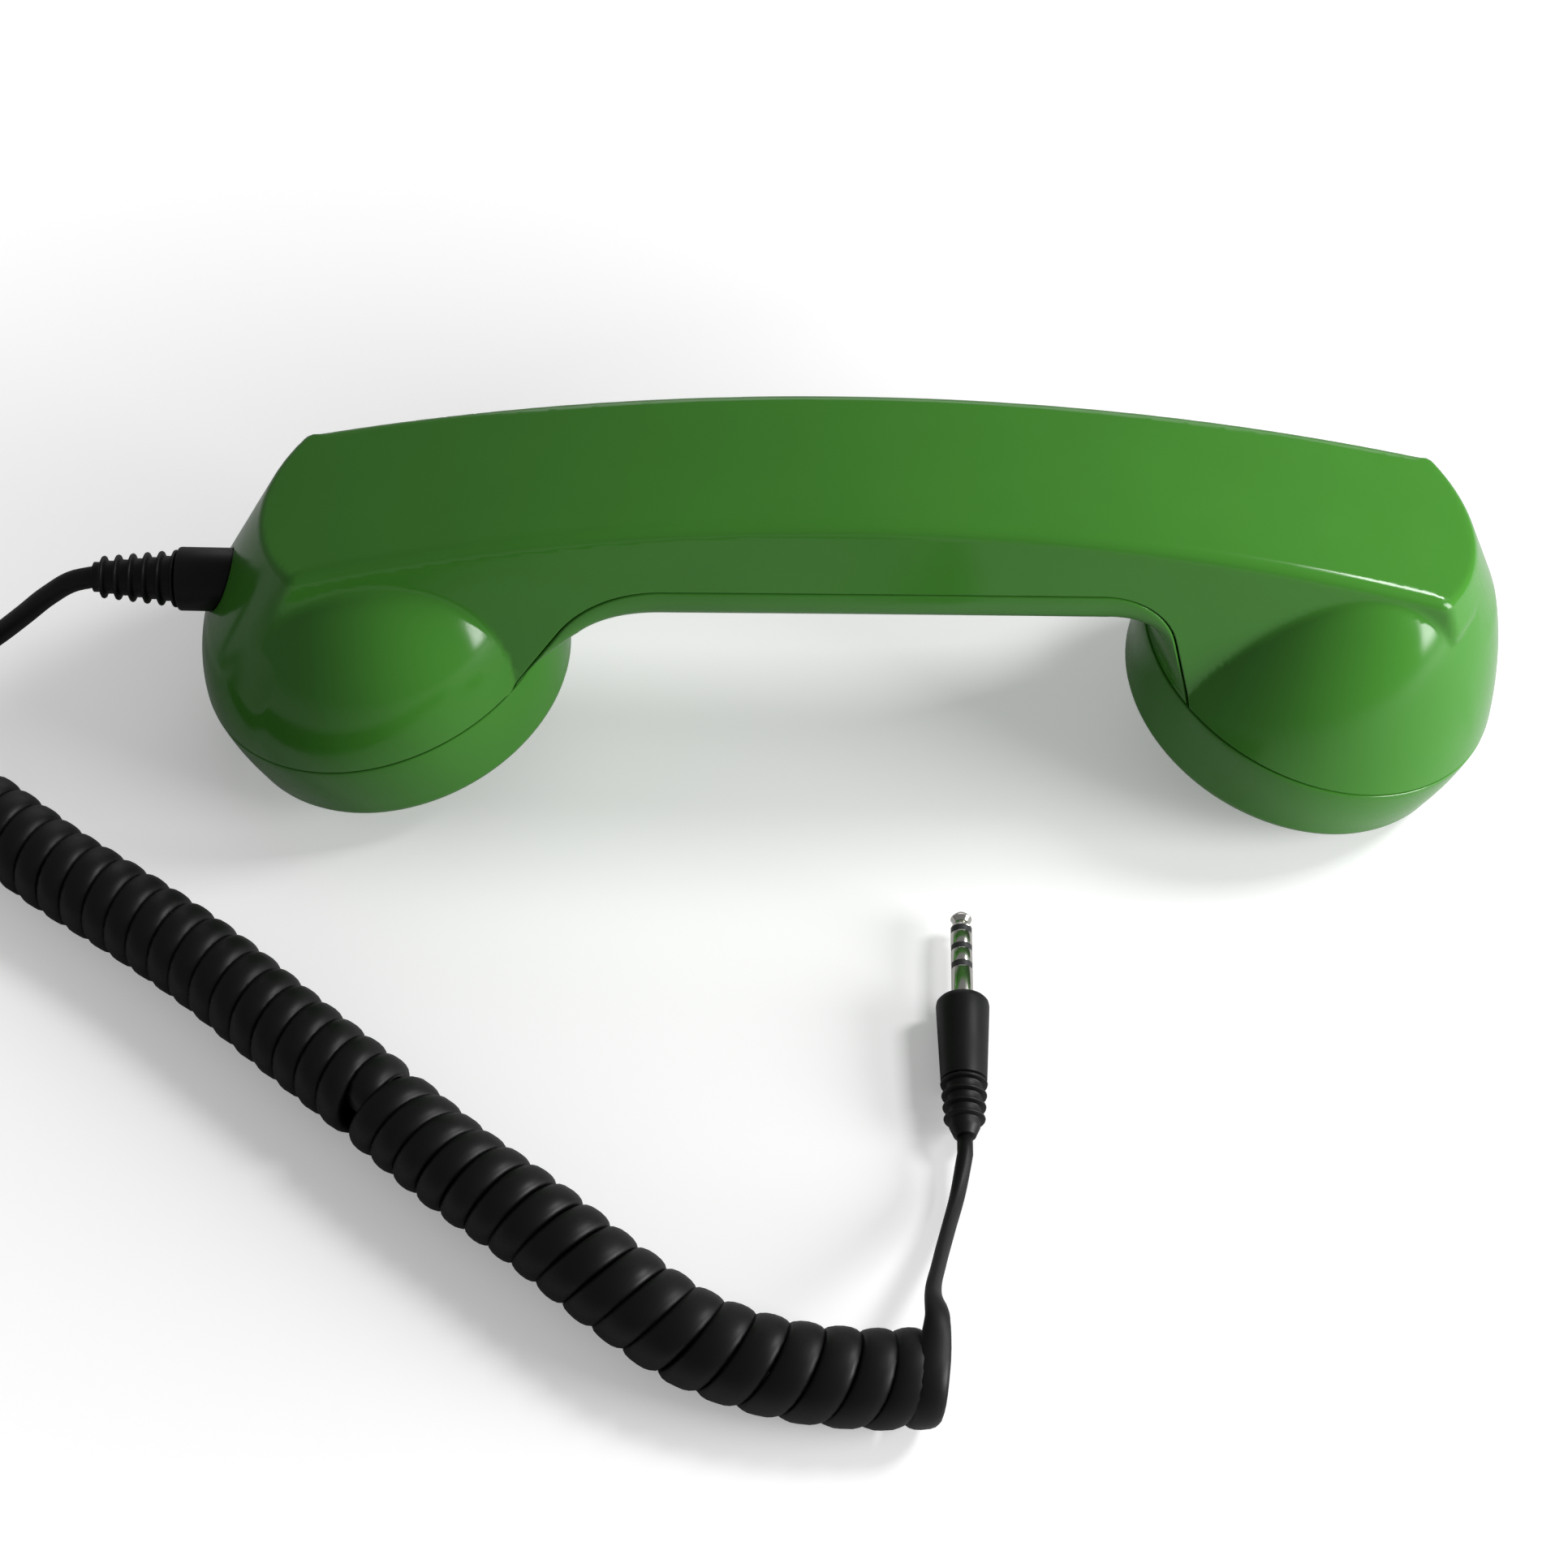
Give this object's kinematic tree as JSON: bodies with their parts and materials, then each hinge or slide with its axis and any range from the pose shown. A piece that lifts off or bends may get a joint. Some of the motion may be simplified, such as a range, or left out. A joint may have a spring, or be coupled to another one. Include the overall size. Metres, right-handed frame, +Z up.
{
  "type": "corded telephone handset",
  "caption": "Corded telephone handset lying on its two screw-on caps, with an arched grip, a ribbed strain relief, a curly cord and a round headset plug.",
  "frame": {"origin": "on the table, half way between the ends of the handset and on its middle plane", "axes": "+X runs along the handset from the mouth cup to the ear cup, +Z up, +Y to the back"},
  "size_m": [0.2794, 0.1678, 0.0642],
  "materials": {
    "green_plastic": "glossy moulded plastic",
    "black_rubber": "matt with a soft sheen",
    "dark_plastic": "matt",
    "felt": "pressed felt",
    "paper": "pressed paper",
    "steel": "zinc plated",
    "nickel": "nickel plated",
    "board": "solder mask",
    "red_wire": "matt"
  },
  "bodies": {
    "handset": {"handle_shell": "green_plastic", "inner_cover": "green_plastic", "speaker_carrier": "dark_plastic", "speaker_frame": "steel", "speaker_cone": "paper", "speaker_magnet": "nickel", "speaker_gasket": "felt", "mic_carrier": "dark_plastic", "mic_holder": "black_rubber", "mic_capsule": "nickel", "ear_screw_1": "steel", "ear_screw_2": "steel", "ear_screw_3": "steel", "mouth_screw_1": "steel", "mouth_screw_2": "steel", "mouth_screw_3": "steel", "ballast_bar": "steel", "ballast_screw_1": "steel", "ballast_screw_2": "steel", "button_board": "board", "tact_switch": "dark_plastic", "board_screw_1": "steel", "board_screw_2": "steel", "strain_relief": "black_rubber", "inner_cable": "black_rubber", "speaker_wire": "red_wire", "mic_wire": "red_wire", "cord_lead": "black_rubber", "curly_cord": "black_rubber", "plug_lead": "black_rubber", "plug_body": "black_rubber", "jack_core": "dark_plastic", "jack_sleeve": "nickel", "jack_ring_1": "nickel", "jack_ring_2": "nickel", "jack_tip": "nickel"},
    "ear_thread": {"ear_felt": "felt"},
    "ear_cap": {"ear_cap": "green_plastic"},
    "mouth_thread": {"mouth_felt": "felt"},
    "mouth_cap": {"mouth_cap": "green_plastic"},
    "answer_button": {"answer_button": "green_plastic"}
  },
  "joints": [
    {"name": "ear_cap_slide", "type": "slide", "parent": "handset", "child": "ear_thread", "axis": [-0.247, 0, -0.969], "range_m": [0, 0.0045]},
    {"name": "ear_cap_turn", "type": "hinge", "parent": "ear_thread", "child": "ear_cap", "pos_m": [0.0791, 0, 0.02114], "axis": [-0.247, 0, -0.969], "range_deg": [0, 540]},
    {"name": "mouth_cap_slide", "type": "slide", "parent": "handset", "child": "mouth_thread", "axis": [0.247, 0, -0.969], "range_m": [0, 0.0045]},
    {"name": "mouth_cap_turn", "type": "hinge", "parent": "mouth_thread", "child": "mouth_cap", "pos_m": [-0.0791, 0, 0.02114], "axis": [0.247, 0, -0.969], "range_deg": [0, 540]},
    {"name": "answer_button_press", "type": "slide", "parent": "handset", "child": "answer_button", "axis": [0, 0, 1], "range_m": [0, 0.0005], "stiffness_N_per_m": 500}
  ],
  "couplings": [
    {"joint": "ear_cap_slide", "follows": "ear_cap_turn", "m_per_rad": 0.00047746},
    {"joint": "mouth_cap_slide", "follows": "mouth_cap_turn", "m_per_rad": 0.00047746}
  ]
}
